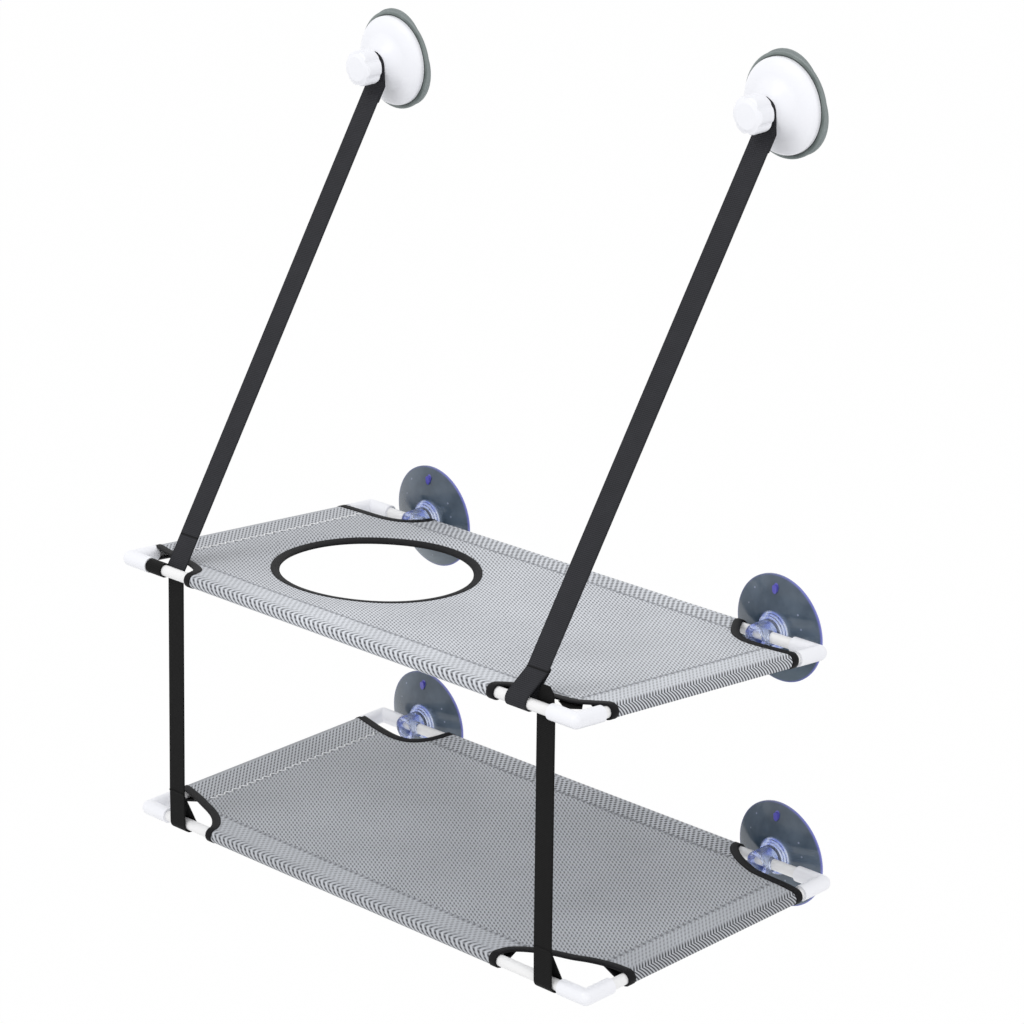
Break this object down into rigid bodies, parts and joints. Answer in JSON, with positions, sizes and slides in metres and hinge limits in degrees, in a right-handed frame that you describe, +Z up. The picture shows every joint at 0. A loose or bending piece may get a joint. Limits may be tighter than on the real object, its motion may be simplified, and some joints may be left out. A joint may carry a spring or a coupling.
{
  "type": "window mounted cat perch",
  "caption": "Two-tier mesh cat hammock on white tube frames, hung from window suction cups by black straps; both decks fold up together.",
  "frame": {"origin": "on the glass, midway between the upper pair of clear cups, at the height of the upper rear tube", "axes": "+X to the right along the pane, +Y into the glass, +Z up"},
  "size_m": [0.5862, 0.3171, 0.7753],
  "materials": {
    "white_pvc": "satin extruded tube",
    "white_plastic": "smooth moulded",
    "grey_mesh": "open woven mesh",
    "black_tape": "woven binding tape",
    "black_webbing": "flat woven webbing",
    "clear_vinyl": "clear soft vinyl with a blue tint",
    "grey_rubber": "translucent grey-green",
    "plated_steel": "plated"
  },
  "bodies": {
    "window_cups": {"upper_clear_cup_left": "clear_vinyl", "upper_clear_cup_right": "clear_vinyl", "lower_clear_cup_left": "clear_vinyl", "lower_clear_cup_right": "clear_vinyl", "rubber_disc_left": "grey_rubber", "rubber_disc_right": "grey_rubber", "cup_cap_left": "white_plastic", "cup_cap_right": "white_plastic", "hanging_strap_left": "black_webbing", "hanging_strap_right": "black_webbing"},
    "upper_deck": {"upper_front_tube": "white_pvc", "upper_rear_tube": "white_pvc", "upper_left_tube": "white_pvc", "upper_right_tube": "white_pvc", "upper_elbow_front_left": "white_plastic", "upper_elbow_front_right": "white_plastic", "upper_elbow_rear_left": "white_plastic", "upper_elbow_rear_right": "white_plastic", "upper_mesh_cover": "grey_mesh", "upper_edge_binding": "black_tape", "upper_hole_binding": "black_tape"},
    "lower_deck": {"lower_front_tube": "white_pvc", "lower_rear_tube": "white_pvc", "lower_left_tube": "white_pvc", "lower_right_tube": "white_pvc", "lower_elbow_front_left": "white_plastic", "lower_elbow_front_right": "white_plastic", "lower_elbow_rear_left": "white_plastic", "lower_elbow_rear_right": "white_plastic", "lower_mesh_cover": "grey_mesh", "lower_edge_binding": "black_tape"},
    "drop_strap_left": {"drop_strap_left": "black_webbing"},
    "knob_left": {"knob_left": "white_plastic"},
    "pull_stud_left": {"pull_stud_left": "plated_steel"},
    "drop_strap_right": {"drop_strap_right": "black_webbing"},
    "knob_right": {"knob_right": "white_plastic"},
    "pull_stud_right": {"pull_stud_right": "plated_steel"}
  },
  "joints": [
    {"name": "upper_fold", "type": "hinge", "parent": "window_cups", "child": "upper_deck", "pos_m": [0, -0.022, 0], "axis": [-1, 0, 0], "range_deg": [0, 69], "deforming": ["hanging_strap_left", "hanging_strap_right", "drop_strap_left", "drop_strap_right"]},
    {"name": "lower_fold", "type": "hinge", "parent": "window_cups", "child": "lower_deck", "pos_m": [0, -0.022, -0.215], "axis": [-1, 0, 0], "range_deg": [0, 69]},
    {"name": "drop_left_swing", "type": "hinge", "parent": "upper_deck", "child": "drop_strap_left", "pos_m": [0, -0.30842, 0.0301], "axis": [1, 0, 0], "range_deg": [0, 62.1]},
    {"name": "drop_right_swing", "type": "hinge", "parent": "upper_deck", "child": "drop_strap_right", "pos_m": [0, -0.30842, 0.0301], "axis": [1, 0, 0], "range_deg": [0, 62.1]},
    {"name": "knob_left_turn", "type": "hinge", "parent": "window_cups", "child": "knob_left", "pos_m": [-0.24, 0, 0.436], "axis": [0, -1, 0], "range_deg": [0, 540.5]},
    {"name": "stud_left_travel", "type": "slide", "parent": "window_cups", "child": "pull_stud_left", "axis": [0, 1, 0], "range_m": [0, 0.003], "deforming": ["rubber_disc_left"]},
    {"name": "knob_right_turn", "type": "hinge", "parent": "window_cups", "child": "knob_right", "pos_m": [0.24, 0, 0.464], "axis": [0, -1, 0], "range_deg": [0, 540.5]},
    {"name": "stud_right_travel", "type": "slide", "parent": "window_cups", "child": "pull_stud_right", "axis": [0, 1, 0], "range_m": [0, 0.003], "deforming": ["rubber_disc_right"]}
  ],
  "couplings": [
    {"joint": "lower_fold", "follows": "upper_fold", "ratio": 1},
    {"joint": "drop_left_swing", "follows": "upper_fold", "ratio": 0.9},
    {"joint": "drop_right_swing", "follows": "upper_fold", "ratio": 0.9},
    {"joint": "knob_left_turn", "follows": "stud_left_travel", "rad_per_m": 3141.6},
    {"joint": "knob_right_turn", "follows": "stud_right_travel", "rad_per_m": 3141.6}
  ]
}
